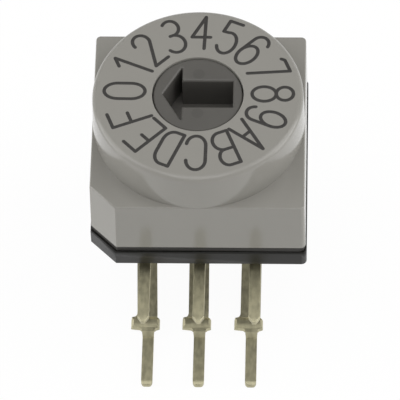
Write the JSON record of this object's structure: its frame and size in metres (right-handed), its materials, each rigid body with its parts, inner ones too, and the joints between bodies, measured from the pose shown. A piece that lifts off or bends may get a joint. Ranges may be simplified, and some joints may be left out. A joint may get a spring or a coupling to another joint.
{
  "type": "rotary dip switch",
  "caption": "Right-angle rotary dip switch: a keyed square housing with a round numbered dial, a driver-slotted rotor and two rows of board pins.",
  "frame": {"origin": "middle of the base's side that seats on the circuit board", "axes": "+Z along the rotor's axis and out of the dial, -Y into the board, +X to the right seen from the dial with the pins below"},
  "size_m": [0.01, 0.0129, 0.0126],
  "materials": {
    "cover_plastic": "moulded light grey, fine matt",
    "base_plastic": "moulded dark grey, matt",
    "rotor_plastic": "moulded mid grey, matt",
    "black_rubber": "matt black",
    "tin_plate": "tin-plated copper alloy, dull bright",
    "gold_plate": "gold-plated contact strip",
    "spring_steel": "polished"
  },
  "bodies": {
    "housing": {"base": "base_plastic", "joint_seal": "black_rubber", "cover": "cover_plastic", "upper_terminal_left": "tin_plate", "upper_terminal_middle": "tin_plate", "upper_terminal_right": "tin_plate", "lower_terminal_left": "tin_plate", "lower_terminal_middle": "tin_plate", "lower_terminal_right": "tin_plate", "contact_spring_upper_left": "gold_plate", "contact_spring_upper_middle": "gold_plate", "contact_spring_upper_right": "gold_plate", "contact_spring_lower_left": "gold_plate", "contact_spring_lower_middle": "gold_plate", "contact_spring_lower_right": "gold_plate"},
    "rotor": {"rotor": "rotor_plastic", "rotor_seal": "black_rubber", "code_disc": "gold_plate", "detent_spring": "spring_steel", "detent_ball_left": "spring_steel", "detent_ball_right": "spring_steel"}
  },
  "joints": [
    {"name": "rotor_turn", "type": "hinge", "parent": "housing", "child": "rotor", "pos_m": [0, 0.005, 0], "axis": [0, 0, 1], "continuous": true}
  ]
}
